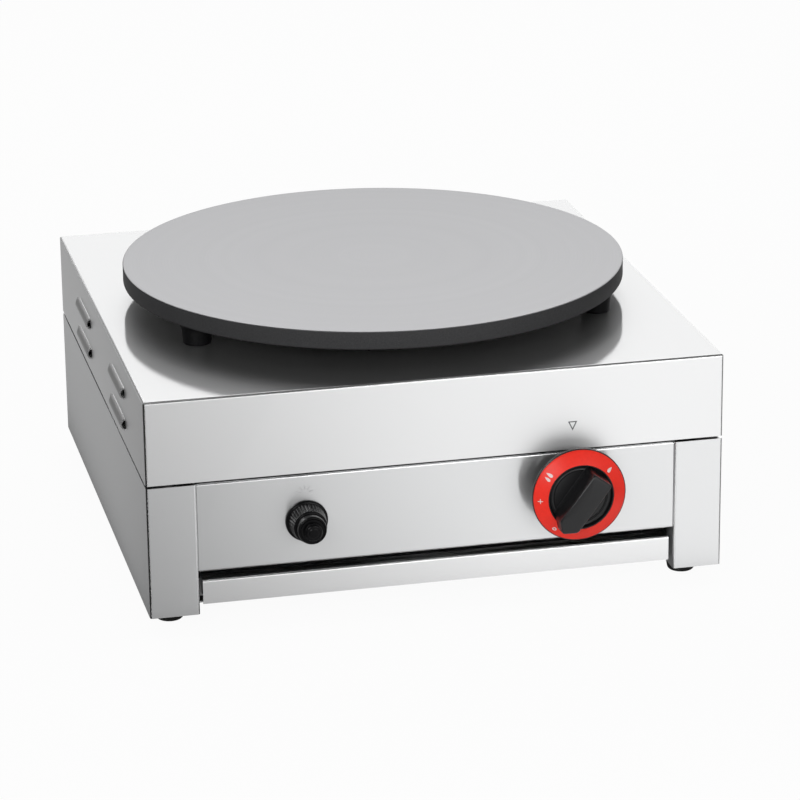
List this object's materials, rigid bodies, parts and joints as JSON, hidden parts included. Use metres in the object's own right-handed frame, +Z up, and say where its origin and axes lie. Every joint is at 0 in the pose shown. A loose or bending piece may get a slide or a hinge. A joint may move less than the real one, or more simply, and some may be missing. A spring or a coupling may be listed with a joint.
{
  "type": "gas crepe maker",
  "caption": "Countertop gas crepe maker: round cast-iron griddle on a square stainless housing with louvres, gas tap knob, piezo igniter and slide-out drip tray.",
  "frame": {"origin": "on the surface that the feet stand on, under the centre of the griddle and of the housing", "axes": "+Z up, -Y towards the cook (controls), +Y to the rear gas inlet, +X to the right seen from the front"},
  "size_m": [0.454, 0.534, 0.217],
  "materials": {
    "stainless": "fine brushed grain",
    "inner_steel": "mill finish sheet",
    "fasteners": "zinc plated",
    "griddle_iron": "turned and seasoned top, satin dark rim",
    "burner_iron": "rough cast",
    "tube_steel": "plain steel",
    "brass": "turned brass",
    "copper": "drawn copper tube",
    "knob_black": "smooth satin black",
    "collar_red": "smooth red with printed white marks",
    "igniter_black": "glossy black moulding",
    "foot_rubber": "matte black rubber",
    "ceramic": "glazed white",
    "lead_silicone": "red silicone sleeve"
  },
  "bodies": {
    "housing": {"top_cover": "stainless", "side_panel_left": "stainless", "side_panel_right": "stainless", "rear_panel": "stainless", "control_panel": "stainless", "cover_spacers": "inner_steel", "cover_screws": "fasteners", "cover_nuts": "fasteners", "panel_screws": "fasteners", "panel_nuts": "fasteners", "rear_screws": "fasteners", "rear_nuts": "fasteners", "tray_runner_left": "inner_steel", "tray_runner_right": "inner_steel", "runner_rivets": "fasteners", "foot_front_left": "foot_rubber", "foot_front_right": "foot_rubber", "foot_rear_left": "foot_rubber", "foot_rear_right": "foot_rubber", "foot_screws": "fasteners", "foot_nuts": "fasteners", "burner_rail": "inner_steel", "rail_screws": "fasteners", "burner_body": "burner_iron", "burner_cap": "burner_iron", "burner_screws": "fasteners", "burner_nuts": "fasteners", "mixing_tube": "tube_steel", "injector_holder": "tube_steel", "injector": "brass", "air_shutter": "tube_steel", "feed_pipe": "copper", "supply_pipe": "copper", "union_nuts": "brass", "inlet_connector": "brass", "inlet_locknut": "brass", "tap_body": "brass", "tap_bonnet": "tube_steel", "tap_screws": "fasteners", "safety_magnet": "tube_steel", "igniter_body": "igniter_black", "igniter_ring_nut": "igniter_black", "igniter_back_nut": "igniter_black", "igniter_spring": "fasteners", "probe_bracket": "inner_steel", "spark_electrode": "ceramic", "ignition_lead": "lead_silicone", "thermocouple": "copper"},
    "griddle": {"griddle_plate": "griddle_iron"},
    "drip_tray": {"tray_pan": "inner_steel", "tray_front": "stainless"},
    "plug": {"tap_plug": "brass", "spindle_spring": "fasteners"},
    "knob": {"tap_spindle": "tube_steel", "control_knob": "knob_black", "knob_collar": "collar_red"},
    "button": {"igniter_button": "igniter_black"}
  },
  "joints": [
    {"name": "griddle_lift", "type": "slide", "parent": "housing", "child": "griddle", "axis": [0, 0, 1], "range_m": [0, 0.1]},
    {"name": "tray_slide", "type": "slide", "parent": "housing", "child": "drip_tray", "axis": [0, -1, 0], "range_m": [0, 0.36]},
    {"name": "knob_turn", "type": "hinge", "parent": "housing", "child": "plug", "pos_m": [0.104, -0.2165, 0.0907], "axis": [0, -1, 0], "range_deg": [-143, 49]},
    {"name": "knob_push", "type": "slide", "parent": "plug", "child": "knob", "axis": [0, 1, 0], "range_m": [0, 0.0035], "stiffness_N_per_m": 1500, "springref_m": -0.004, "deforming": ["spindle_spring"]},
    {"name": "igniter_push", "type": "slide", "parent": "housing", "child": "button", "axis": [0, 1, 0], "range_m": [0, 0.0045], "stiffness_N_per_m": 2000, "springref_m": -0.003, "deforming": ["igniter_spring"]}
  ]
}
